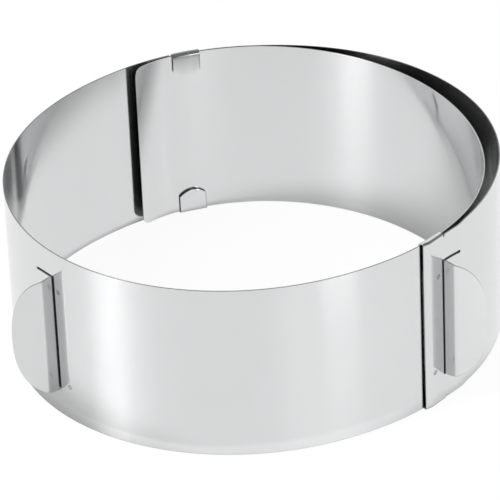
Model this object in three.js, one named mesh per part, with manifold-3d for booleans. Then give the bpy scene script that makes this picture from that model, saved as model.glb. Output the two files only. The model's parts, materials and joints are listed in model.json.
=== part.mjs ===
// An adjustable cake ring. Two springy steel bands overlap to make one ring. Each has a plain end that runs on
// inside the ring, an outer end whose folded guide tabs hold the other band, and a half-moon handle plate.
// Millimetres, +Z up. Angles are in degrees, counted anticlockwise from +X as seen from above.
import * as THREE from 'three';
import Module from 'manifold-3d';

const wasm = await Module();
wasm.setup();

// The ring and its bands
const ringRadius = 105.9; // inner face of the long band's wall where other layers slide on it
const bandHeight = 85;
const sheetThickness = 0.5;
const slideGap = 0.3; // between layers that slide on each other
const endCorner = 4; // rounded corners of the plain ends
const facetLength = 5.5; // longest step along a band

// Where the bands' ends lie
const longEndAngle = 102.8; // outer end of the long band, at the back left
const longTailAngle = 480.2; // its plain end, one turn further on
const shortEndAngle = -48; // outer end of the short band, at the front right
const shortTailAngle = 116.5; // its plain end, hidden between the long band's two layers

// The springy ring isn't quite round: the long band swells out on the left between the two overlaps
const swellStart = 127.5;
const swellEnd = 300;
const swellHeight = 8.3;
const swellPower = 1.55; // shapes the start and end of the swell

// The crescent on the right, where the long band's inner tail and the short band stand apart
const crescentStart = -41;
const crescentEnd = 88;
const tailLeaveAngle = -29; // the tail leaves the round wall here
const tailSag = 3.3; // how far the tail sets in towards the middle
const bandBulge = 4.5; // how far the short band sets out
const tailCurl = 2.8; // how far the tail's free end sets in past the guide tabs
const crescentPower = 1.3; // shapes the crescent's points

// Guide tabs, folded over the top and bottom edges
const longTabWidth = 13.4;
const shortTabWidth = 12.7;
const tabSideDepth = 8.4; // length of a flap at its sides
const tabArch = 3; // how much longer a flap is in its middle
const notchWidth = 0.8; // relief beside a fold
const notchDepth = 1.3;
const tabSteps = 8;
const bendSteps = 3;

// Handles: a foot behind the band, a wall out through a slot and a half-moon lobe bent off the wall
const plateHalfHeight = 29.7;
const plateDepth = 20.6; // from the band's outer face to the lobe's tip, along the sheet
const wallDepth = 6.2; // from the band's outer face to the bend of the lobe
const outlinePower = 2.4; // 2 would make the half moon's outline an ellipse, and more makes it fuller
const lobeTurn = 42; // degrees by which the lobe turns off the wall
const plateThickness = 0.6;
const plateGap = 0.3; // between a plate and the band round it
const footWidth = 9; // from the root to the foot's end away from the lobe
const footReach = 14; // from the root to its end behind the lobe
const footCorner = 5;
const rootClear = 0.8; // free width of the slot beside the root, away from the lobe
const bendRadius = 1; // to the middle of the plate's sheet, where the lobe turns off
const tipTurn = 89; // where the half moon's outline is cut short at its tip
const lobeSteps = 14;
const cornerSteps = 6;
const leftHandleAngle = 218;
const handleInset = 12.6; // from the short band's outer end to the root of its handle

// Slits beside a handle's slot, on the lobe's side
const slitLength = 11.8;
const slitWidth = 1;
const hookLength = 2.2; // how far a slit's end turns towards the lobe's middle

// Layers and heights that follow
const layerPitch = sheetThickness + slideGap;
const shortLayer = ringRadius - layerPitch; // inner faces, from the wall inwards
const tailLayer = shortLayer - layerPitch;
const longFlap = tailLayer - layerPitch;
const shortFlap = ringRadius - layerPitch;
const shortWall = ringRadius + layerPitch + plateThickness + plateGap; // outside, over the handle's foot
const bandBottom = layerPitch; // the folds stand proud of the bands' edges, and the ring rests on them
const bandTop = bandBottom + bandHeight;
const bandMiddle = (bandBottom + bandTop) / 2;
const rightHandleAngle = shortEndAngle + turnFor(handleInset, shortWall);

const steel = { color: 0xd6d8d9, metalness: 1, roughness: 0.22, flatShading: true };

function turnFor(length, radius) {
  return THREE.MathUtils.radToDeg(length / radius);
}

// Zero at both limits and one midway between them
function arch(angle, from, to, power) {
  const share = THREE.MathUtils.clamp((angle - from) / (to - from), 0, 1);
  return Math.sin(Math.PI * share) ** power;
}

// Inner face of the long band: the ring's wall, then the tail that runs on inside the short band
function longRadius(angle) {
  const turned = angle - 360;
  const settled = THREE.MathUtils.smoothstep(turned, tailLeaveAngle, (tailLeaveAngle + crescentEnd) / 2);
  const layer = THREE.MathUtils.lerp(ringRadius, tailLayer, settled);
  const swell = swellHeight * arch(angle, swellStart, swellEnd, swellPower);
  const sag = tailSag * arch(turned, tailLeaveAngle, crescentEnd, crescentPower);
  const freeStart = longEndAngle + turnFor(longTabWidth, ringRadius);
  const free = Math.max(0, (turned - freeStart) / (longTailAngle - 360 - freeStart));
  return layer + swell - sag - tailCurl * free ** 2;
}

// Inner face of the short band: outside the long band at its own end, inside it at the far one
function shortRadius(angle) {
  const settled = THREE.MathUtils.smoothstep(angle, crescentStart, crescentEnd);
  const layer = THREE.MathUtils.lerp(shortWall, shortLayer, settled);
  return layer + bandBulge * arch(angle, crescentStart, crescentEnd, crescentPower);
}

// A rectangle as an outline of [distance, height] points, anticlockwise
function rectangle(near, far, bottom, top) {
  return [[near, bottom], [far, bottom], [far, top], [near, top]];
}

// One cross-section on its way round the ring. An outline's distances run to the right of the heading.
function ringFrame(angle, radius, outline) {
  const turn = THREE.MathUtils.degToRad(angle);
  return { x: radius * Math.cos(turn), y: radius * Math.sin(turn), heading: angle + 90, outline };
}

// A closed body carried through frames whose outlines all have the same number of points
function carry(frames) {
  const count = frames[0].outline.length;
  const positions = frames.flatMap(({ x, y, heading, outline }) => {
    const turn = THREE.MathUtils.degToRad(heading);
    return outline.flatMap(([distance, height]) => {
      return [x + Math.sin(turn) * distance, y - Math.cos(turn) * distance, height];
    });
  });
  const indices = [];
  for (let i = 0; i < frames.length - 1; i++) {
    for (let j = 0; j < count; j++) {
      const a = i * count + j;
      const b = i * count + ((j + 1) % count);
      indices.push(a, a + count, b, b, a + count, b + count);
    }
  }
  const last = frames.length - 1;
  for (const [a, b, c] of triangles(frames[0].outline)) {
    indices.push(a, b, c);
  }
  for (const [a, b, c] of triangles(frames[last].outline)) {
    indices.push(a + last * count, c + last * count, b + last * count);
  }
  return new wasm.Manifold(new wasm.Mesh({
    numProp: 3,
    vertProperties: new Float32Array(positions),
    triVerts: new Uint32Array(indices),
  }));
}

function triangles(outline) {
  return THREE.ShapeUtils.triangulateShape(outline.map(([x, y]) => new THREE.Vector2(x, y)), []);
}

// Angles in even steps no longer than a facet
function evenAngles(from, to) {
  const arcLength = THREE.MathUtils.degToRad(to - from) * ringRadius;
  const steps = Math.max(1, Math.ceil(arcLength / facetLength));
  return Array.from({ length: steps + 1 }, (_, i) => THREE.MathUtils.lerp(from, to, i / steps));
}

// A band's wall up to its plain end, whose two corners are rounded
function bandWall(radiusAt, from, to) {
  const roundStart = to - turnFor(endCorner, ringRadius);
  const section = (angle, cut) => {
    return ringFrame(angle, radiusAt(angle), rectangle(0, sheetThickness, bandBottom + cut, bandTop - cut));
  };
  const frames = evenAngles(from, roundStart).map((angle) => section(angle, 0));
  for (let i = 1; i <= cornerSteps; i++) {
    const turn = (Math.PI / 2) * (i / cornerSteps);
    const angle = THREE.MathUtils.lerp(roundStart, to, Math.sin(turn));
    frames.push(section(angle, endCorner * (1 - Math.cos(turn))));
  }
  return carry(frames);
}

// A quarter of a fold's outer bend round the point x, y
function foldBend(x, y, quarter) {
  return Array.from({ length: bendSteps + 1 }, (_, i) => {
    const turn = (Math.PI / 2) * (quarter + i / bendSteps);
    return [x + layerPitch * Math.cos(turn), y + layerPitch * Math.sin(turn)];
  });
}

// A band's section with a guide tab folded over each edge. The flaps' inner face is at the given distance.
function tabSection(flapFace, depth) {
  const foldTop = bandTop + layerPitch;
  const upper = [
    ...foldBend(sheetThickness - layerPitch, foldTop - layerPitch, 0),
    ...foldBend(flapFace + layerPitch, foldTop - layerPitch, 1),
    [flapFace, foldTop - depth],
    [flapFace + sheetThickness, foldTop - depth],
    [flapFace + sheetThickness, bandTop + slideGap],
    [0, bandTop + slideGap],
  ];
  const lower = upper.map(([distance, height]) => [distance, 2 * bandMiddle - height]).reverse();
  return [...upper, ...lower];
}

// A band's outer end as wide as its guide tabs, with a relief notch beside each fold
function outerEnd(radiusAt, from, width, flapRadius) {
  const to = from + turnFor(width, radiusAt(from));
  const frames = Array.from({ length: tabSteps + 1 }, (_, i) => {
    const share = i / tabSteps;
    const angle = THREE.MathUtils.lerp(from, to, share);
    const depth = layerPitch + tabSideDepth + tabArch * (1 - (2 * share - 1) ** 2);
    return ringFrame(angle, radiusAt(angle), tabSection(flapRadius - radiusAt(angle), depth));
  });
  return { wall: carry(frames), to };
}

// A cutting body through one layer, between two angles and two heights
function cutter(radiusAt, from, to, bottom, top) {
  const outline = rectangle(-slideGap, sheetThickness + slideGap, bottom, top);
  return carry(evenAngles(from, to).map((angle) => ringFrame(angle, radiusAt(angle), outline)));
}

function reliefNotches(radiusAt, angle) {
  const to = angle + turnFor(notchWidth, radiusAt(angle));
  return [
    cutter(radiusAt, angle, to, bandTop - notchDepth, bandTop + slideGap),
    cutter(radiusAt, angle, to, bandBottom - slideGap, bandBottom + notchDepth),
  ];
}

// The upright slot of a handle's root, and a hooked slit at each end of it towards the lobe
function handleSlots(radiusAt, angle, side) {
  const radius = radiusAt(angle);
  const lobeSide = angle + side * turnFor(plateThickness / 2 + plateGap, radius);
  const footSide = angle - side * turnFor(plateThickness / 2 + rootClear, radius);
  const halfHeight = plateHalfHeight + plateGap;
  const slitEnd = angle + side * turnFor(slitLength, radius);
  const hookStart = angle + side * turnFor(slitLength - slitWidth, radius);
  const opening = (from, to, low, high) => {
    const [start, end] = [from, to].sort((a, b) => a - b);
    const [bottom, top] = [low, high].sort((a, b) => a - b);
    return cutter(radiusAt, start, end, bandMiddle + bottom, bandMiddle + top);
  };
  return [
    opening(footSide, lobeSide, -halfHeight, halfHeight),
    ...[1, -1].flatMap((half) => [
      opening(angle, slitEnd, half * (halfHeight - slitWidth), half * halfHeight),
      opening(hookStart, slitEnd, half * (halfHeight - hookLength), half * halfHeight),
    ]),
  ];
}

// A band made of its outer end and its wall, less the cuts
function band(radiusAt, from, to, tabWidth, flapRadius, handleAngle, side) {
  const end = outerEnd(radiusAt, from, tabWidth, flapRadius);
  const wall = bandWall(radiusAt, THREE.MathUtils.lerp(from, end.to, 1 - 1 / tabSteps), to);
  const cuts = [...reliefNotches(radiusAt, end.to), ...handleSlots(radiusAt, handleAngle, side)];
  return cuts.reduce((solid, cut) => solid.subtract(cut), end.wall.add(wall));
}

// Points on a bend of the plate, from one heading to another round a centre
function plateBend(x, y, fromHeading, toHeading) {
  const right = Math.sign(toHeading - fromHeading) * bendRadius;
  return Array.from({ length: bendSteps + 1 }, (_, i) => {
    const heading = THREE.MathUtils.lerp(fromHeading, toHeading, i / bendSteps);
    const turn = THREE.MathUtils.degToRad(heading);
    return { x: x + right * Math.sin(turn), y: y - right * Math.cos(turn), heading };
  });
}

// A handle's foot: a strip behind the band on both sides of the root, with rounded corners
function handleFoot(radiusAt, angle, side) {
  const [near, far] = [footCorner - footWidth, footReach - footCorner];
  const corners = Array.from({ length: cornerSteps }, (_, i) => {
    const turn = (Math.PI / 2) * ((i + 1) / cornerSteps);
    return { past: footCorner * Math.sin(turn), half: plateHalfHeight - footCorner * (1 - Math.cos(turn)) };
  });
  const stations = [
    ...corners.map(({ past, half }) => ({ along: near - past, half })),
    ...[near, 0, far / 2, far].map((along) => ({ along, half: plateHalfHeight })),
    ...corners.map(({ past, half }) => ({ along: far + past, half })),
  ];
  const frames = stations.map(({ along, half }) => {
    const around = side * turnFor(along, radiusAt(angle));
    const radius = radiusAt(angle + around) - plateGap - plateThickness;
    return ringFrame(around, radius, rectangle(0, plateThickness, bandMiddle - half, bandMiddle + half));
  });
  return carry(frames.sort((a, b) => a.heading - b.heading));
}

// A handle seen from above with its root on +X. Its wall rises from the foot, and its lobe turns off the
// wall, to the left for side 1 and to the right for side -1.
function handlePlate(radiusAt, angle, side) {
  const footRadius = radiusAt(angle) - plateGap - plateThickness / 2;

  // Depths are measured from the band's outer face, where the half moon's outline starts
  const faceRadius = radiusAt(angle) + sheetThickness;
  const direction = THREE.MathUtils.degToRad(lobeTurn);
  const bendLength = bendRadius * direction;
  const bendStart = wallDepth - bendLength / 2;
  const halfAt = (depth) => {
    return plateHalfHeight * (1 - (depth / plateDepth) ** outlinePower) ** (1 / outlinePower);
  };
  const lobeBend = plateBend(faceRadius + bendStart, bendRadius, 0, lobeTurn);
  const lobeStart = lobeBend[bendSteps];
  const startTurn = Math.asin(((bendStart + bendLength) / plateDepth) ** (outlinePower / 2));
  const lobe = Array.from({ length: lobeSteps }, (_, i) => {
    const turn = THREE.MathUtils.lerp(startTurn, THREE.MathUtils.degToRad(tipTurn), (i + 1) / lobeSteps);
    const depth = plateDepth * Math.sin(turn) ** (2 / outlinePower);
    const along = depth - bendStart - bendLength;
    return {
      x: lobeStart.x + along * Math.cos(direction),
      y: lobeStart.y + along * Math.sin(direction),
      heading: lobeTurn,
      half: halfAt(depth),
    };
  });
  const stations = [
    { x: footRadius, y: 0, heading: 0, half: plateHalfHeight },
    ...lobeBend.map((station, i) => ({ ...station, half: halfAt(bendStart + bendLength * (i / bendSteps)) })),
    ...lobe,
  ];
  const plate = carry(stations.map(({ x, y, heading, half }) => ({
    x,
    y: side * y,
    heading: side * heading,
    outline: rectangle(-plateThickness / 2, plateThickness / 2, bandMiddle - half, bandMiddle + half),
  })));
  return handleFoot(radiusAt, angle, side).add(plate);
}

function piece(name, solid, turn = 0) {
  const { vertProperties, triVerts } = solid.getMesh();
  const geometry = new THREE.BufferGeometry();
  geometry.setAttribute('position', new THREE.BufferAttribute(vertProperties, 3));
  geometry.setIndex(new THREE.BufferAttribute(triVerts, 1));
  const mesh = new THREE.Mesh(geometry, new THREE.MeshStandardMaterial(steel));
  mesh.name = name;
  mesh.rotation.z = THREE.MathUtils.degToRad(turn);
  return mesh;
}

const longBand = band(longRadius, longEndAngle, longTailAngle, longTabWidth, longFlap, leftHandleAngle, -1);
const shortBand = band(shortRadius, shortEndAngle, shortTailAngle, shortTabWidth, shortFlap, rightHandleAngle, 1);

const cakeRing = new THREE.Group();
cakeRing.add(
  piece('long_band', longBand),
  piece('short_band', shortBand),
  piece('left_handle', handlePlate(longRadius, leftHandleAngle, -1), leftHandleAngle),
  piece('right_handle', handlePlate(shortRadius, rightHandleAngle, 1), rightHandleAngle),
);

// The origin is under the middle of the whole ring, on the surface that it stands on
const extent = new THREE.Box3().setFromObject(cakeRing, true);
const middle = extent.getCenter(new THREE.Vector3());
cakeRing.position.set(-middle.x, -middle.y, -extent.min.z);

export default cakeRing;
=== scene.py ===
import json
import bpy
import numpy as np
from mathutils import Matrix, Vector


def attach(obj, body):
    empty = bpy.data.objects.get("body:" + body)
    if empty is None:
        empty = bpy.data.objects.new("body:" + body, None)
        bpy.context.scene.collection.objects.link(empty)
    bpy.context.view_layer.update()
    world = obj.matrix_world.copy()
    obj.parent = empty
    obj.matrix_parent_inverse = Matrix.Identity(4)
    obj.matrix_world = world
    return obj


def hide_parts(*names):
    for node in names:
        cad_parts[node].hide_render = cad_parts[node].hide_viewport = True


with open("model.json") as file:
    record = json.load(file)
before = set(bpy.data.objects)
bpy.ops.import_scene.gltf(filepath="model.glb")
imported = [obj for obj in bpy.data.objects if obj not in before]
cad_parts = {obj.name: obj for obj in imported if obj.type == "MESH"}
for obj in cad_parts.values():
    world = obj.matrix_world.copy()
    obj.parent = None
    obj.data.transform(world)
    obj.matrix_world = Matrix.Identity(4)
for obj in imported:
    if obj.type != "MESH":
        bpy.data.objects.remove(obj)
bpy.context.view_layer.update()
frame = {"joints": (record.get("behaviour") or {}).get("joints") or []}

print("frame loaded")

# Shapes are worked out in millimetres and degrees about the ring's own axis, which is the axis of the joint
ringCentre = 1000 * np.array(frame["joints"][0]["pos_m"]) * (1, 1, 0)

# What both bands and both handles share
ring = dict(
    radius=105.9,                   # inner face of the long band's wall
    sheet=0.5, gap=0.3,             # thickness of a band, and the play between layers
    bottom=0.8, top=85.8,           # the bands' edges
    endCorner=4, cornerSteps=8,     # round corners of the plain ends
    crescentStart=-41, crescentEnd=88, crescentPower=1.3,
    plate=0.6, plateHalf=29.7,      # thickness of a handle, and half its height
    longestTurn=1, longestRise=9,   # longest steps of a band's grid
)
pitch = ring["sheet"] + ring["gap"]
middle = (ring["bottom"] + ring["top"]) / 2

# Edges that turn by more than sharpTurn are rounded off. The back's lengths are set off from the front's, so that
# a rim has some width in them too.
edges = dict(sharpTurn=50, segments=2, backOffset=0.0035)


# Angle in degrees that a length takes up on a circle
def turnFor(length, radius):
    return np.degrees(length / radius)


# 0 below low, 1 above high and 3t^2 - 2t^3 between them
def smoothStep(x, low, high):
    t = np.clip((x - low) / (high - low), 0, 1)
    return t * t * (3 - 2 * t)


# Sine of half a turn between low and high, to a power: zero at both limits
def arch(x, low, high, power):
    t = np.clip((x - low) / (high - low), 0, 1)
    return np.sin(np.pi * t) ** power


# The marks in order, with even steps no longer than longest between them
def gridLines(marks, longest):
    marks = np.unique(np.round(np.concatenate([np.ravel(m) for m in marks]), 5))
    counts = np.maximum(1, np.ceil(np.diff(marks) / longest)).astype(int)
    spans = [np.linspace(a, b, n, endpoint=False) for a, b, n in zip(marks[:-1], marks[1:], counts)]
    return np.append(np.concatenate(spans), marks[-1])


# A closed sheet between two grids of points [i, j]: points, faces, lengths along the sheet, 1 for 100 mm, and
# how much painted shade each point gets, from 0 in the open to 1 deep between layers.
# Each kept cell has a face on both sides, and a rim face joins them wherever the next cell isn't kept.
def closedSheet(front, back, keep, lengths, frontShade, backShade):
    grid = front.shape[:2]
    count = grid[0] * grid[1]
    ids = np.arange(count).reshape(grid)
    a, b, c, d = ids[:-1, :-1], ids[1:, :-1], ids[1:, 1:], ids[:-1, 1:]
    faces = [np.stack([a, b, c, d], -1)[keep], np.stack([d, c, b, a], -1)[keep] + count]
    padded = np.pad(keep, 1)
    sides = ((a, b, padded[1:-1, :-2]), (b, c, padded[2:, 1:-1]),
             (c, d, padded[1:-1, 2:]), (d, a, padded[:-2, 1:-1]))
    for start, end, neighbour in sides:
        rimFaces = np.stack([end, start, start + count, end + count], -1)
        faces.append(rimFaces[keep & ~neighbour])
    used, faces = np.unique(np.concatenate(faces), return_inverse=True)
    points = np.concatenate([front.reshape(-1, 3), back.reshape(-1, 3)])[used]
    flat = lengths.reshape(-1, 2)
    shades = np.concatenate([np.broadcast_to(shade, grid).ravel() for shade in (frontShade, backShade)])
    return points, faces.reshape(-1, 4), np.concatenate([flat, flat + edges["backOffset"]])[used], shades[used]


def addObject(name, data):
    thing = bpy.data.objects.new(name, data)
    bpy.context.scene.collection.objects.link(thing)
    return thing


# One piece made of closed sheets, in metres, with its edges rounded off
def sheetPiece(name, sheets, edgeRound):
    firsts = np.cumsum([0] + [len(sheet[0]) for sheet in sheets])
    points, lengths, shades = (np.concatenate([sheet[i] for sheet in sheets]) for i in (0, 2, 3))
    faces = np.concatenate([sheet[1] + first for sheet, first in zip(sheets, firsts)])
    mesh = bpy.data.meshes.new(name)
    mesh.from_pydata(((points + ringCentre) / 1000).tolist(), [], faces.tolist())
    mesh.uv_layers.new(name="sheet").data.foreach_set("uv", lengths[faces.ravel()].ravel())
    # The between attribute carries each point's painted shade to the steel's tone
    mesh.attributes.new("between", "FLOAT", "POINT").data.foreach_set("value", shades.astype(np.float32))
    mesh.shade_smooth()
    mesh.update()
    piece = addObject(name, mesh)
    edge = piece.modifiers.new("edge", "BEVEL")
    edge.width = edgeRound / 1000
    edge.segments = edges["segments"]
    edge.limit_method = "ANGLE"
    edge.angle_limit = np.radians(edges["sharpTurn"])
    edge.harden_normals = True
    return piece


# A point at a radius, an angle and a height
def around(radius, angle, height):
    turn = np.radians(angle)
    x, y, z = np.broadcast_arrays(radius * np.cos(turn), radius * np.sin(turn), height)
    return np.stack([x, y, z], -1)


# What both bands share: the handle's slot and slits, the notches beside the tabs, the sheared rims, the tabs
# and the welds
slots = dict(clear=0.3, slitLength=11.8, slitWidth=1.5, droop=0.9, droopPower=3, fadePower=2, droopReach=5)
notch = dict(width=0.8, depth=1.3)
# The rims' shade is painted shade along the sheared edges
rim = dict(width=0.3, shade=0.85, edgeRound=0.1)
tabs = dict(
    side=8.4, arch=3,           # depth at the sides, and how much more there is in the middle
    loose=0.5, crease=52,       # how much further in the flap hangs than it need, and the circle's turn
    columns=16, bendSteps=9, flapSteps=4, creaseShare=0.015,
    # shadeFrom and shadePower shape the painted shade in a fold's bend
    shadeFrom=5, shadePower=0.4,
)
welds = dict(offsets=(3.5, 7), heights=(66, 17.6), radius=1.5, depth=0.28, shade=0.8, shadePower=2, lines=11)


# Rows of a section from the wall's top edge over the fold and down the flap: distance from the wall's inner
# face, height, and the way that the sheet's outer face looks. The fold is a low quarter of an ellipse over the
# wall and part of a circle over the flap, which meet at the top. The circle ends in a crease, and the flap hangs
# straight down from there. Faces look along the curves' normals. The last two results are 1 on the flap alone,
# and a number that falls from 1 to 0 down it.
def foldRows(flapFace, flapDepth):
    sheet, top = ring["sheet"], ring["top"]
    rise, reach = pitch - sheet / 2, -flapFace / 2
    crease = np.radians(tabs["crease"])
    wide = (reach + tabs["loose"]) / np.sin(crease)
    first = np.radians(np.linspace(0, 90, tabs["bendSteps"] + 1))[1:]
    second = np.pi / 2 + crease * np.linspace(0, 1, tabs["bendSteps"] + 1)[1:]
    down = np.append(tabs["creaseShare"], np.linspace(0, 1, tabs["flapSteps"] + 1)[1:])
    fold = (sheet + flapFace) / 2
    flapTop = top + rise - wide * (1 - np.cos(crease))
    distance = [fold + reach * np.cos(first), fold + wide * np.cos(second), fold - reach - tabs["loose"] + 0 * down]
    height = [top + rise * np.sin(first) + 0 * flapFace, top + rise - wide * (1 - np.sin(second)),
              flapTop + (top + pitch - flapDepth - flapTop) * down]
    firstLook = np.arctan2(reach[0, 0] * np.sin(first), rise * np.cos(first))
    look = np.concatenate([firstLook, second, np.pi + 0 * down])
    bends = np.zeros(2 * tabs["bendSteps"])
    return np.hstack(distance), np.hstack(height), look, np.append(bends, 1 + 0 * down), np.append(bends, 1 - down)


# A band from its outer end with the tabs to its plain end. Its wall's inner face lies at radiusAt.
def bandObject(name, band, radiusAt):
    handle, side = band["handleAngle"], band["handleSide"]
    start, tail = band["endAngle"], band["tailAngle"]
    atHandle = radiusAt(handle)
    tabEnd = start + turnFor(band["tabWidth"], radiusAt(start))
    notchEnd = tabEnd + turnFor(notch["width"], radiusAt(tabEnd))
    roundStart = tail - turnFor(ring["endCorner"], ring["radius"])
    lobeSide = turnFor(ring["plate"] / 2 + slots["clear"], atHandle)
    footSide = turnFor(ring["plate"] / 2 + band["rootClear"], atHandle)
    slitTurn = turnFor(slots["slitLength"], atHandle)
    weldAngles = handle - side * turnFor(np.array(welds["offsets"]), atHandle)
    weldTurn = turnFor(welds["radius"], atHandle)
    weldLines = np.linspace(-1, 1, welds["lines"])

    cornerTurns = np.linspace(0, np.pi / 2, ring["cornerSteps"] + 1)
    angles = gridLines([
        np.linspace(start, tabEnd, tabs["columns"] + 1), [notchEnd],
        roundStart + (tail - roundStart) * np.sin(cornerTurns),
        [handle - side * footSide, handle + side * lobeSide, handle + side * slitTurn],
        weldAngles[0] + weldTurn * weldLines, weldAngles[1] + weldTurn * weldLines,
    ], ring["longestTurn"])
    slotHeight = ring["plateHalf"] + slots["clear"]
    limits = np.array([slotHeight, slotHeight - slots["slitWidth"]])
    wallRows = gridLines([
        [ring["bottom"], ring["bottom"] + rim["width"], ring["bottom"] + notch["depth"]],
        [ring["top"] - notch["depth"], ring["top"] - rim["width"], ring["top"]],
        middle + limits, middle - limits,
        welds["heights"][0] + welds["radius"] * weldLines,
        welds["heights"][1] + welds["radius"] * weldLines,
    ], ring["longestRise"])

    # Rows of the section: lower flap, lower fold, wall, upper fold, upper flap
    column = angles[:, None]
    radius = radiusAt(column)
    share = np.clip((column - start) / (tabEnd - start), 0, 1)
    flapDepth = pitch + tabs["side"] + tabs["arch"] * (1 - (2 * share - 1) ** 2)
    distance, height, look, onFlap, flapFall = foldRows(band["flapRadius"] - radius, flapDepth)
    wall = np.broadcast_to(wallRows, (len(angles), len(wallRows)))
    distance = np.hstack([distance[:, ::-1], 0 * wall + ring["sheet"] / 2, distance])
    height = np.hstack([2 * middle - height[:, ::-1], wall, height])
    look = np.concatenate([-look[::-1], 0 * wallRows, look])

    # Round corners of the plain end: heights shrink towards the middle along a quarter circle
    endShare = np.clip((column - roundStart) / (tail - roundStart), 0, 1)
    cut = ring["endCorner"] * (1 - np.sqrt(1 - endShare ** 2))
    height = middle + (height - middle) * (1 - cut / (ring["top"] - middle))

    # The slits bend towards the lobe's middle by a power of the way along them, and fade out above and below
    # and past their ends
    along = np.clip(side * (column - handle) / slitTurn, 0, 1)
    beyond = np.clip(side * (column - handle) / slitTurn - 1, 0, 1)
    level = height - middle
    near = arch(np.abs(level) - slotHeight, -slots["droopReach"], slots["droopReach"], 1)
    bend = slots["droop"] * along ** slots["droopPower"] * (1 - beyond) ** slots["fadePower"]
    height = height - np.sign(level) * bend * near

    # Weld dimples: their depth falls off as half a cosine wave, with a darker ring half way out
    dent, shade = 0 * height, 0 * height
    for weldAngle, weldHeight in zip(weldAngles, welds["heights"]):
        away = np.hypot(np.radians(column - weldAngle) * radius, height - weldHeight) / welds["radius"]
        dent += welds["depth"] * (1 + np.cos(np.pi * np.minimum(away, 1))) / 2
        shade += welds["shade"] * arch(away, 0, 1, welds["shadePower"])
    # Painted shade also darkens the tight bend of a fold, the upper flap's top and both flaps' sheared ends
    foldTurns = np.degrees(np.abs(look))
    shade += band["foldShade"] * arch(foldTurns, tabs["shadeFrom"], band["foldShadeEnd"], tabs["shadePower"])
    shade[:, -len(flapFall):] += band["flapShade"] * flapFall
    shade[0] += band["endShade"] * np.concatenate([onFlap[::-1], 0 * wallRows, onFlap])
    # The tail's outer face and the short band's inner face look at each other between the layers, and get painted
    # shade there
    settled = smoothStep(column, band["coveredFrom"], band["coveredFrom"] + band["coveredTurn"])
    covered = settled + 0 * height
    frontShade, backShade = (shade, covered) if band["coveredInside"] else (np.maximum(shade, covered), 0)
    # Painted shade along the wall's sheared edges on both faces, and on the tail as far as the band says
    edgeRows = np.concatenate([0 * onFlap, np.isin(wallRows, (ring["bottom"], ring["top"])), 0 * onFlap])
    sheared = rim["shade"] * edgeRows * (1 - (1 - band["tailRim"]) * settled)

    half = ring["sheet"] / 2
    front = around(radius + distance - dent + half * np.cos(look), column, height + half * np.sin(look))
    back = around(radius + distance - dent - half * np.cos(look), column, height - half * np.sin(look))

    # Cells that are sheet: the folds only within the tabs, the wall less its notches, slot and slits
    angle = (angles[1:] + angles[:-1])[:, None] / 2
    row = np.arange(len(look) - 1)
    foldCount = len(onFlap)
    inWall = (row >= foldCount) & (row < foldCount + len(wallRows) - 1)
    cellHeight = np.zeros(len(look) - 1)
    cellHeight[inWall] = (wallRows[1:] + wallRows[:-1]) / 2
    level = np.abs(cellHeight - middle)
    past = side * (angle - handle)
    notched = (angle > tabEnd) & (angle < notchEnd) & (level > ring["top"] - notch["depth"] - middle)
    slot = (past > -footSide) & (past < lobeSide) & (level < slotHeight)
    slit = (past > 0) & (past < slitTurn) & (level < slotHeight) & (level > slotHeight - slots["slitWidth"])
    keep = np.where(inWall, ~(notched | slot | slit), angle < tabEnd)

    lengthUp = np.concatenate([[0], np.cumsum(np.hypot(np.diff(distance[0]), np.diff(height[0])))])
    lengths = np.stack(np.broadcast_arrays(np.radians(column) * ring["radius"], lengthUp), -1) / 100
    shades = np.maximum(frontShade, sheared), np.maximum(backShade, sheared)
    return sheetPiece(name, [closedSheet(front, back, keep, lengths, *shades)], rim["edgeRound"])


# The long band: its outer end stands at the back left, and its plain end comes out past it one turn further on
longBand = dict(
    endAngle=102.8, tailAngle=481.5, tabWidth=13.4, flapRadius=ring["radius"] - 3 * pitch,
    handleAngle=218, handleSide=-1, rootClear=1,
    swellStart=127.5, swellEnd=300, swellHeight=8.3, swellPower=1.55,
    tailLeave=-29, tailSag=3.3, tailCurl=2.8,
    # Painted shade: between the layers from coveredFrom on, and in the fold's bend, the upper flap's top, the flaps'
    # ends and the tail's rims
    coveredFrom=315, coveredTurn=10, coveredInside=False,
    foldShade=0.75, foldShadeEnd=160, flapShade=0.55, endShade=0.5, tailRim=0,
)


# Wall radius, plus a swell on the left, less the tail's step to its layer, its sag and its free end's curl
def longRadius(angle):
    turned = angle - 360
    leave, crescentEnd = longBand["tailLeave"], ring["crescentEnd"]
    settled = smoothStep(turned, leave, (leave + crescentEnd) / 2)
    swell = arch(angle, longBand["swellStart"], longBand["swellEnd"], longBand["swellPower"])
    sag = arch(turned, leave, crescentEnd, ring["crescentPower"])
    freeStart = longBand["endAngle"] + turnFor(longBand["tabWidth"], ring["radius"])
    free = np.maximum(0, (turned - freeStart) / (longBand["tailAngle"] - 360 - freeStart))
    return (ring["radius"] - 2 * pitch * settled + longBand["swellHeight"] * swell
            - longBand["tailSag"] * sag - longBand["tailCurl"] * free ** 2)


longBandPiece = bandObject("longBandSheet", longBand, longRadius)
print("long band made")

# The short band: outside the long band at its outer end, between the long band's layers at its plain end
shortWall = ring["radius"] + pitch + ring["plate"] + ring["gap"]
shortEnd, handleFromEnd = -48, 12.6
shortBand = dict(
    endAngle=shortEnd, tailAngle=117.8, tabWidth=12.7, flapRadius=ring["radius"] - pitch,
    handleAngle=shortEnd + turnFor(handleFromEnd, shortWall), handleSide=1, rootClear=0.7, bulge=4.5,
    flatFull=8, flatEnd=17, endDip=0.5, endDipFrom=0.8, endDipTo=3.4,
    # Painted shade: on the inner face between the layers from coveredFrom on, in the fold's bend and along the rims
    coveredFrom=20, coveredTurn=30, coveredInside=True,
    foldShade=1, foldShadeEnd=80, flapShade=0, endShade=0, tailRim=1,
)


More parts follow.
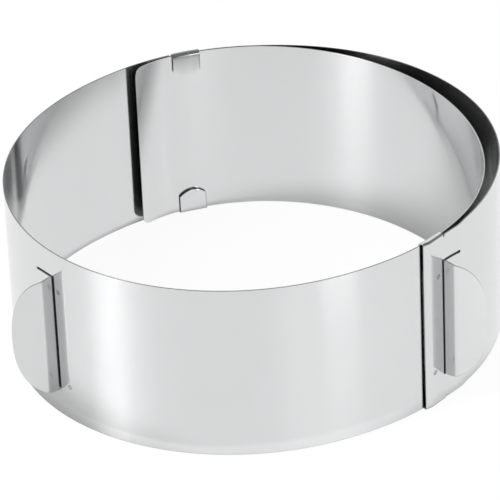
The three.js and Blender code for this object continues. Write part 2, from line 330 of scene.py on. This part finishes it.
# The right handle's foot keeps its band flat: a flat sheet's distance from the axis grows by r t^2 / 2 with the
# turn t
def flatBeside(angle):
    turn = np.radians(angle - shortBand["handleAngle"])
    fade = 1 - smoothStep(np.abs(turn) * ring["radius"], shortBand["flatFull"], shortBand["flatEnd"])
    return ring["radius"] * turn ** 2 / 2 * fade


# From the wall outside the handle's foot to the layer inside the long band, plus a bulge between them. The outer
# end dips towards the long band.
def shortRadius(angle):
    crescent = ring["crescentStart"], ring["crescentEnd"]
    settled = smoothStep(angle, *crescent)
    bulge = shortBand["bulge"] * arch(angle, *crescent, ring["crescentPower"])
    fromEnd = np.radians(angle - shortBand["endAngle"]) * shortWall
    dip = shortBand["endDip"] * (1 - smoothStep(fromEnd, shortBand["endDipFrom"], shortBand["endDipTo"]))
    return shortWall + (ring["radius"] - pitch - shortWall) * settled + bulge - dip + flatBeside(angle)


shortBandPiece = bandObject("shortBandSheet", shortBand, shortRadius)
print("short band made")

# Both handles. Depths run from the band's outer face to the lobe's tip, along the plate.
handles = dict(
    depth=20.6, wallDepth=6.2, outlinePower=2.4, lobeTurn=42, bendRadius=1, tipTurn=89.5,
    footWidth=9, footReach=14, footCorner=5,
    rows=25, footColumns=12, cornerSteps=8, wallSteps=6, bendSteps=8, lobeSteps=40,
    # cornerShade and edgeShade are painted shade in the corner by the bend and along the sheared edges
    cornerShade=0.25, shadeReach=1, edgeShare=0.008, edgeShade=0.75, edgeRound=0.12,
)


# Half the plate's height at a depth past the band's face: a superellipse, (z/h)^n + (depth/d)^n = 1
def plateHalfAt(depth):
    power = handles["outlinePower"]
    return ring["plateHalf"] * (1 - np.minimum(depth / handles["depth"], 1) ** power) ** (1 / power)


# The foot: a strip behind the band on both sides of the root, with quarter circles at its corners
def footSheet(angle, side, radiusAt):
    corner = np.linspace(0, np.pi / 2, handles["cornerSteps"] + 1)[1:]
    past, low = handles["footCorner"] * np.sin(corner), handles["footCorner"] * (1 - np.cos(corner))
    near, far = handles["footCorner"] - handles["footWidth"], handles["footReach"] - handles["footCorner"]
    between = np.linspace(near, far, handles["footColumns"])
    along = np.concatenate([(near - past)[::-1], between, far + past])
    half = ring["plateHalf"] - np.concatenate([low[::-1], 0 * between, low])
    place = angle + side * turnFor(along, radiusAt(angle))
    order = np.argsort(place)
    place, half = place[order][:, None], half[order][:, None]
    height = middle + half * np.linspace(-1, 1, handles["rows"])
    outer = radiusAt(place) - ring["gap"]
    lengths = np.stack(np.broadcast_arrays(np.radians(place) * ring["radius"], height), -1) / 100
    keep = np.ones((height.shape[0] - 1, height.shape[1] - 1), bool)
    # The face towards the band gets full painted shade, the other face none
    return closedSheet(around(outer, place, height), around(outer - ring["plate"], place, height),
                       keep, lengths, 1, 0)


# The wall and lobe: along a path seen from above it goes straight out, turns on a circular bend and goes
# straight on, and its half height follows the superellipse of plateHalfAt
def lobeSheet(angle, side, radiusAt):
    start = radiusAt(angle) - ring["gap"] - ring["plate"] / 2
    face = radiusAt(angle) + ring["sheet"]
    turn, bendRadius, power = np.radians(handles["lobeTurn"]), handles["bendRadius"], handles["outlinePower"]
    bendStart = handles["wallDepth"] - bendRadius * turn / 2
    wallDepths = np.append(start - face, np.linspace(0, bendStart, handles["wallSteps"], endpoint=False))
    bendTurns = np.linspace(0, turn, handles["bendSteps"] + 1)
    bendDepths = bendStart + bendRadius * bendTurns
    outline = np.linspace(np.arcsin((bendDepths[-1] / handles["depth"]) ** (power / 2)),
                          np.radians(handles["tipTurn"]), handles["lobeSteps"] + 1)[1:]
    lobeDepths = handles["depth"] * np.sin(outline) ** (2 / power)
    beyond = lobeDepths - bendDepths[-1]
    x = face + np.concatenate([wallDepths, bendStart + bendRadius * np.sin(bendTurns),
                               bendStart + bendRadius * np.sin(turn) + beyond * np.cos(turn)])
    y = np.concatenate([0 * wallDepths, bendRadius * (1 - np.cos(bendTurns)),
                        bendRadius * (1 - np.cos(turn)) + beyond * np.sin(turn)])
    heading = np.concatenate([0 * wallDepths, bendTurns, turn + 0 * beyond])
    depths = np.concatenate([wallDepths, bendDepths, lobeDepths])[:, None]
    inner = np.sin(np.linspace(-np.pi / 2, np.pi / 2, handles["rows"])) * (1 - handles["edgeShare"])
    rows = np.concatenate([[-1], inner, [1]])
    height = middle + plateHalfAt(np.maximum(depths, 0)) * rows

    # Either face lies half a plate to the right or left of the path, and side -1 is the mirror image
    def facePoints(offset):
        outwards = (x + offset * np.sin(heading))[:, None]
        sideways = side * (y - offset * np.cos(heading))[:, None]
        own = np.radians(angle)
        return np.stack(np.broadcast_arrays(outwards * np.cos(own) - sideways * np.sin(own),
                                            outwards * np.sin(own) + sideways * np.cos(own), height), -1)

    lengths = np.stack(np.broadcast_arrays(depths, height), -1) / 100
    keep = np.ones((height.shape[0] - 1, height.shape[1] - 1), bool)
    half = side * ring["plate"] / 2
    # Painted shade: dark inside the slot, a little darker in the corner up to the bend, and along the sheared edges
    corner = handles["cornerShade"] * (1 - smoothStep(depths, bendStart - handles["shadeReach"], bendDepths[-1]))
    shade = np.maximum(np.where(depths < 0, 1, corner), handles["edgeShade"] * (np.abs(rows) == 1))
    return closedSheet(facePoints(half), facePoints(-half), keep, lengths, shade, shade)


def handleObject(name, band, radiusAt):
    own = band["handleAngle"], band["handleSide"], radiusAt
    return sheetPiece(name, [footSheet(*own), lobeSheet(*own)], handles["edgeRound"])


leftHandlePiece = handleObject("leftHandlePlate", longBand, longRadius)
rightHandlePiece = handleObject("rightHandlePlate", shortBand, shortRadius)
print("handles made")


# A node of plain arithmetic on numbers and sockets
def mathNode(tree, operation, *values):
    node = tree.nodes.new("ShaderNodeMath")
    node.operation = operation
    for socket, value in zip(node.inputs, values):
        if isinstance(value, bpy.types.NodeSocket):
            tree.links.new(value, socket)
        else:
            socket.default_value = value
    return node.outputs[0]


def newMaterial(name):
    material = bpy.data.materials.new(name)
    material.use_nodes = True
    return material, material.node_tree, material.node_tree.nodes["Principled BSDF"]


# What both steels share. Each pattern is a noise, stretched along and across the sheet. A dull line lies where
# the line noise is above lineLevel less sharePart of the lines' share, and lineEdge says how sharply it starts.
# Highlights spread a quarter turn from the lines.
rolled = dict(
    line=dict(stretch=(0.05, 1, 1), detail=1),
    cloud=dict(stretch=(1, 0.7, 1), detail=4),
    wave=dict(stretch=(0.8, 0.12, 1), detail=1),
    lineLevel=0.6, sharePart=0.3, lineEdge=12, noiseMiddle=0.5, spreadTurn=0.25,
    # The last socket is the share of the tone that full painted shade leaves
    sockets=dict(lineScale=6000, lineShare=0.14, clearRoughness=0.08, dullRoughness=0.5,
                 cloudScale=3, cloudRoughness=0.03, cloudTone=0.04, waveHeight=0.3, paintedShadeTone=0.25),
    tone=(0.72, 0.725, 0.73, 1),
)


# Rolled steel sheet. Between clear lines lie duller ones along the sheet, faint clouds shift both, and slow
# waves bend what the sheet mirrors. Painted shade darkens its tone. It reads lengths along the sheet, 1 for 100 mm.
def rolledSheetGroup():
    group = bpy.data.node_groups.new("rolledSheet", "ShaderNodeTree")
    for socketName, value in rolled["sockets"].items():
        socket = group.interface.new_socket(socketName, in_out="INPUT", socket_type="NodeSocketFloat")
        socket.default_value = value
    tone = group.interface.new_socket("tone", in_out="INPUT", socket_type="NodeSocketColor")
    tone.default_value = rolled["tone"]
    for socketName, kind in (("colour", "Color"), ("roughness", "Float"), ("height", "Float")):
        group.interface.new_socket(socketName, in_out="OUTPUT", socket_type="NodeSocket" + kind)
    nodes, links = group.nodes, group.links
    given = nodes.new("NodeGroupInput").outputs
    result = nodes.new("NodeGroupOutput").inputs
    lengths = nodes.new("ShaderNodeUVMap")
    lengths.uv_map = "sheet"

    def noise(scale, pattern):
        mapping = nodes.new("ShaderNodeMapping")
        mapping.inputs["Scale"].default_value = rolled[pattern]["stretch"]
        links.new(lengths.outputs["UV"], mapping.inputs["Vector"])
        texture = nodes.new("ShaderNodeTexNoise")
        texture.inputs["Detail"].default_value = rolled[pattern]["detail"]
        links.new(mapping.outputs["Vector"], texture.inputs["Vector"])
        links.new(scale, texture.inputs["Scale"])
        return texture.outputs["Fac"]

    share = mathNode(group, "MULTIPLY", given["lineShare"], rolled["sharePart"])
    above = mathNode(group, "SUBTRACT", mathNode(group, "ADD", noise(given["lineScale"], "line"), share),
                     rolled["lineLevel"])
    sharp = mathNode(group, "MULTIPLY", above, rolled["lineEdge"])
    dull = mathNode(group, "MINIMUM", mathNode(group, "MAXIMUM", sharp, 0), 1)
    cloud = mathNode(group, "SUBTRACT", noise(given["cloudScale"], "cloud"), rolled["noiseMiddle"])
    clearer = mathNode(group, "MULTIPLY_ADD", cloud, given["cloudRoughness"], given["clearRoughness"])
    span = mathNode(group, "SUBTRACT", given["dullRoughness"], given["clearRoughness"])
    links.new(mathNode(group, "MULTIPLY_ADD", dull, span, clearer), result["roughness"])
    # Painted shade: deep between the layers the tone falls to its given share of itself
    between = nodes.new("ShaderNodeAttribute")
    between.attribute_name = "between"
    lost = mathNode(group, "MULTIPLY", between.outputs["Fac"],
                    mathNode(group, "SUBTRACT", 1, given["paintedShadeTone"]))
    bright = mathNode(group, "MULTIPLY", mathNode(group, "MULTIPLY_ADD", cloud, given["cloudTone"], 1),
                      mathNode(group, "SUBTRACT", 1, lost))
    shaded = nodes.new("ShaderNodeVectorMath")
    shaded.operation = "SCALE"
    links.new(given["tone"], shaded.inputs[0])
    links.new(bright, shaded.inputs["Scale"])
    links.new(shaded.outputs[0], result["colour"])
    links.new(mathNode(group, "MULTIPLY", noise(given["cloudScale"], "wave"), given["waveHeight"]), result["height"])
    return group


rolledSheet = rolledSheetGroup()


# Polished steel whose highlights spread across the rolling lines
def steelMaterial(name, look):
    material, tree, shader = newMaterial(name)
    nodes, links = tree.nodes, tree.links
    shader.inputs["Metallic"].default_value = 1
    shader.inputs["Anisotropic"].default_value = look["anisotropy"]
    shader.inputs["Anisotropic Rotation"].default_value = rolled["spreadTurn"]
    sheet = nodes.new("ShaderNodeGroup")
    sheet.node_tree = rolledSheet
    for socketName, value in look["sheet"].items():
        sheet.inputs[socketName].default_value = value
    tangent = nodes.new("ShaderNodeTangent")
    tangent.direction_type = "UV_MAP"
    tangent.uv_map = "sheet"
    bump = nodes.new("ShaderNodeBump")
    bump.inputs["Strength"].default_value = 1
    bump.inputs["Distance"].default_value = look["relief"]
    links.new(sheet.outputs["colour"], shader.inputs["Base Color"])
    links.new(sheet.outputs["roughness"], shader.inputs["Roughness"])
    links.new(sheet.outputs["height"], bump.inputs["Height"])
    links.new(bump.outputs["Normal"], shader.inputs["Normal"])
    links.new(tangent.outputs["Tangent"], shader.inputs["Tangent"])
    return material


bandSteel = steelMaterial("bandSteel", dict(anisotropy=1, relief=0.0001, sheet={}))
handleSteel = steelMaterial("handleSteel", dict(
    anisotropy=0.8, relief=0.0002, sheet=dict(lineShare=0.3, clearRoughness=0.12)))
print("steel made")

# What each piece stands for
for piece, body, node, slot, material in (
    (longBandPiece, "long_part", "long_band", "band_steel", bandSteel),
    (shortBandPiece, "short_part", "short_band", "band_steel", bandSteel),
    (leftHandlePiece, "long_part", "left_handle", "handle_steel", handleSteel),
    (rightHandlePiece, "short_part", "right_handle", "handle_steel", handleSteel),
):
    piece.data.materials.append(material)
    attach(piece, body)
    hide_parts(node)
print("pieces ride on their bodies")

# The floor's size in metres, its whites, the world's strength as light and as backdrop, and the shadows that the
# steel sees in the floor, in millimetres from the ring's axis
studio = dict(
    floorSize=6, floorColour=(0.9, 0.9, 0.9, 1), floorWhite=0.92, floorInSteel=0.95, matt=0.9,
    worldLight=0.9, backdropLight=1,
    contactPlace=(-5.2, -3.3, 0), contactRadius=108.5, contactHalf=4, contactSoft=4, contactInSteel=0.2,
    castShift=(-47.5, -29.7, 0), castRadius=107, castFrom=14, castFull=50, castEdge=40, castDepth=0.54,
)
# Cards that only the steel sees: corners in metres, and a grey
cards = dict(
    frontCard=dict(corners=[(-2.4, -2.6, 3), (2.4, -2.6, 3), (2.4, -2.6, 0.3), (-2.4, -2.6, 0.3)], grey=0.04),
    ceiling=dict(corners=[(-2.4, -2.6, 3), (2.4, -2.6, 3), (2.4, 2.3, 3), (-2.4, 2.3, 3)], grey=0.3),
)


# One share for rays from the camera, another for rays that metal or glass sends on, and 0 for the rest. A share
# is a number or a socket.
def seenShare(tree, cameraShare, steelShare):
    path = tree.nodes.new("ShaderNodeLightPath").outputs
    inMetal = mathNode(tree, "MULTIPLY", path["Is Glossy Ray"], steelShare)
    inGlass = mathNode(tree, "MULTIPLY", path["Is Transmission Ray"], steelShare)
    seen = mathNode(tree, "MULTIPLY", path["Is Camera Ray"], cameraShare)
    return mathNode(tree, "MAXIMUM", seen, mathNode(tree, "MAXIMUM", inMetal, inGlass))


# Goes from one number to another as 3t^2 - 2t^3 while a value goes from low to high
def smoothRange(tree, value, low, high, first, last):
    node = tree.nodes.new("ShaderNodeMapRange")
    node.interpolation_type = "SMOOTHSTEP"
    for socketName, number in zip(("From Min", "From Max", "To Min", "To Max"), (low, high, first, last)):
        node.inputs[socketName].default_value = number
    tree.links.new(value, node.inputs["Value"])
    return node.outputs["Result"]


# How far outside a circle on the floor a point lies, in millimetres, with the circle's middle given from the
# ring's
def outside(tree, middleFromRing, radius):
    place = tree.nodes.new("ShaderNodeTexCoord")
    away = tree.nodes.new("ShaderNodeVectorMath")
    away.operation = "DISTANCE"
    away.inputs[1].default_value = (ringCentre + middleFromRing) / 1000
    tree.links.new(place.outputs["Object"], away.inputs[0])
    return mathNode(tree, "MULTIPLY_ADD", away.outputs["Value"], 1000, -radius)


# The floor keeps the ring's shadow in the steel. Under the walls little of its white is left. Light from the back
# right throws the wall's shadow to the front left: it lies where a point is inside one of the wall's circle and
# its shifted copy and outside the other, so that minus the product of the two distances is above zero, and it
# fades towards the shifted copy. The results are the white's share and its strength.
def floorShadow(tree):
    beside = mathNode(tree, "ABSOLUTE", outside(tree, studio["contactPlace"], studio["contactRadius"]))
    share = smoothRange(tree, beside, studio["contactHalf"], studio["contactHalf"] + studio["contactSoft"],
                        studio["contactInSteel"], studio["floorInSteel"])
    fromWall = outside(tree, (0, 0, 0), studio["castRadius"])
    fromCopy = outside(tree, studio["castShift"], studio["castRadius"])
    between = mathNode(tree, "MULTIPLY", mathNode(tree, "MULTIPLY", fromWall, fromCopy), -1)
    cast = mathNode(tree, "MULTIPLY", smoothRange(tree, between, 0, studio["castEdge"], 0, 1),
                    smoothRange(tree, mathNode(tree, "ABSOLUTE", fromCopy),
                                studio["castFrom"], studio["castFull"], 0, 1))
    path = tree.nodes.new("ShaderNodeLightPath")
    depth = mathNode(tree, "MULTIPLY", cast, studio["castDepth"])
    lost = mathNode(tree, "MULTIPLY", path.outputs["Is Glossy Ray"], depth)
    return mathNode(tree, "MAXIMUM", share, cast), mathNode(tree, "SUBTRACT", 1, lost)


def flatCard(name, corners, material):
    mesh = bpy.data.meshes.new(name)
    mesh.from_pydata(corners, [], [(0, 1, 2, 3)])
    mesh.materials.append(material)
    return addObject(name, mesh)


floorMaterial, tree, shader = newMaterial("paleFloor")
shader.inputs["Base Color"].default_value = studio["floorColour"]
shader.inputs["Roughness"].default_value = studio["matt"]
white = tree.nodes.new("ShaderNodeEmission")
mix = tree.nodes.new("ShaderNodeMixShader")
share, strength = floorShadow(tree)
tree.links.new(strength, white.inputs["Strength"])
tree.links.new(seenShare(tree, studio["floorWhite"], share), mix.inputs[0])
tree.links.new(shader.outputs[0], mix.inputs[1])
tree.links.new(white.outputs[0], mix.inputs[2])
tree.links.new(mix.outputs[0], tree.nodes["Material Output"].inputs["Surface"])
reach = studio["floorSize"] / 2
floor = flatCard("floor", [(-reach, -reach, 0), (reach, -reach, 0), (reach, reach, 0), (-reach, reach, 0)],
                 floorMaterial)

# Dark cards behind the camera and overhead give folds and edges their dark lines
for name, card in cards.items():
    cardMaterial, tree, shader = newMaterial(name)
    shader.inputs["Base Color"].default_value = (card["grey"], card["grey"], card["grey"], 1)
    shader.inputs["Roughness"].default_value = studio["matt"]
    holder = flatCard(name, card["corners"], cardMaterial)
    holder.visible_camera = holder.visible_diffuse = holder.visible_shadow = False

# The world lights the part at one strength, and the camera and the steel see it at another
world = bpy.data.worlds.new("studio")
bpy.context.scene.world = world
world.use_nodes = True
tree = world.node_tree
tree.nodes.clear()
mix = tree.nodes.new("ShaderNodeMixShader")
for socket, lightStrength in zip(mix.inputs[1:], (studio["worldLight"], studio["backdropLight"])):
    background = tree.nodes.new("ShaderNodeBackground")
    background.inputs["Color"].default_value = (1, 1, 1, 1)
    background.inputs["Strength"].default_value = lightStrength
    tree.links.new(background.outputs[0], socket)
output = tree.nodes.new("ShaderNodeOutputWorld")
tree.links.new(seenShare(tree, 1, 1), mix.inputs[0])
tree.links.new(mix.outputs[0], output.inputs["Surface"])

bpy.context.scene.view_settings.view_transform = "Standard"

# Upright soft boxes, each facing the ring's axis. Places are in millimetres from that axis.
lamps = dict(
    leftBox=dict(x=-1312, y=-727, bottom=50, width=400, height=1900, power=29),
    frontBox=dict(x=586, y=-1380, bottom=50, width=400, height=900, power=3.4),
    rightBox=dict(x=147, y=-227, bottom=10, width=60, height=190, power=0.1),
)
for name, lamp in lamps.items():
    light = bpy.data.lights.new(name, "AREA")
    light.shape = "RECTANGLE"
    light.size = lamp["width"] / 1000
    light.size_y = lamp["height"] / 1000
    light.energy = lamp["power"]
    holder = addObject(name, light)
    holder.location = Vector(ringCentre + (lamp["x"], lamp["y"], lamp["bottom"] + lamp["height"] / 2)) / 1000
    holder.rotation_euler = Vector((lamp["x"], lamp["y"], 0)).to_track_quat("Z", "Y").to_euler()
    holder.visible_camera = False

# The camera looks down at the ring from the front, a little rolled, at a distance in millimetres from its aim
view = dict(distance=1995.12, pitch=31.827, roll=-2.5, aim=(-3.206, -8.321, 43.3), lens=316.8, sensor=36)
pitchTurn, rollTurn = np.radians(view["pitch"]), np.radians(view["roll"])
ahead = np.array([0, np.cos(pitchTurn), -np.sin(pitchTurn)])
level, upright = np.array([1, 0, 0]), np.array([0, np.sin(pitchTurn), np.cos(pitchTurn)])
rightWay = np.cos(rollTurn) * level + np.sin(rollTurn) * upright
upWay = np.cos(rollTurn) * upright - np.sin(rollTurn) * level
place = Matrix(np.column_stack([rightWay, upWay, -ahead]).tolist()).to_4x4()
place.translation = Vector((np.array(view["aim"]) + ringCentre - view["distance"] * ahead) / 1000)
cameraData = bpy.data.cameras.new("camera")
cameraData.lens = view["lens"]
cameraData.sensor_width = view["sensor"]
camera = addObject("camera", cameraData)
camera.matrix_world = place
bpy.context.scene.camera = camera
print("studio made")
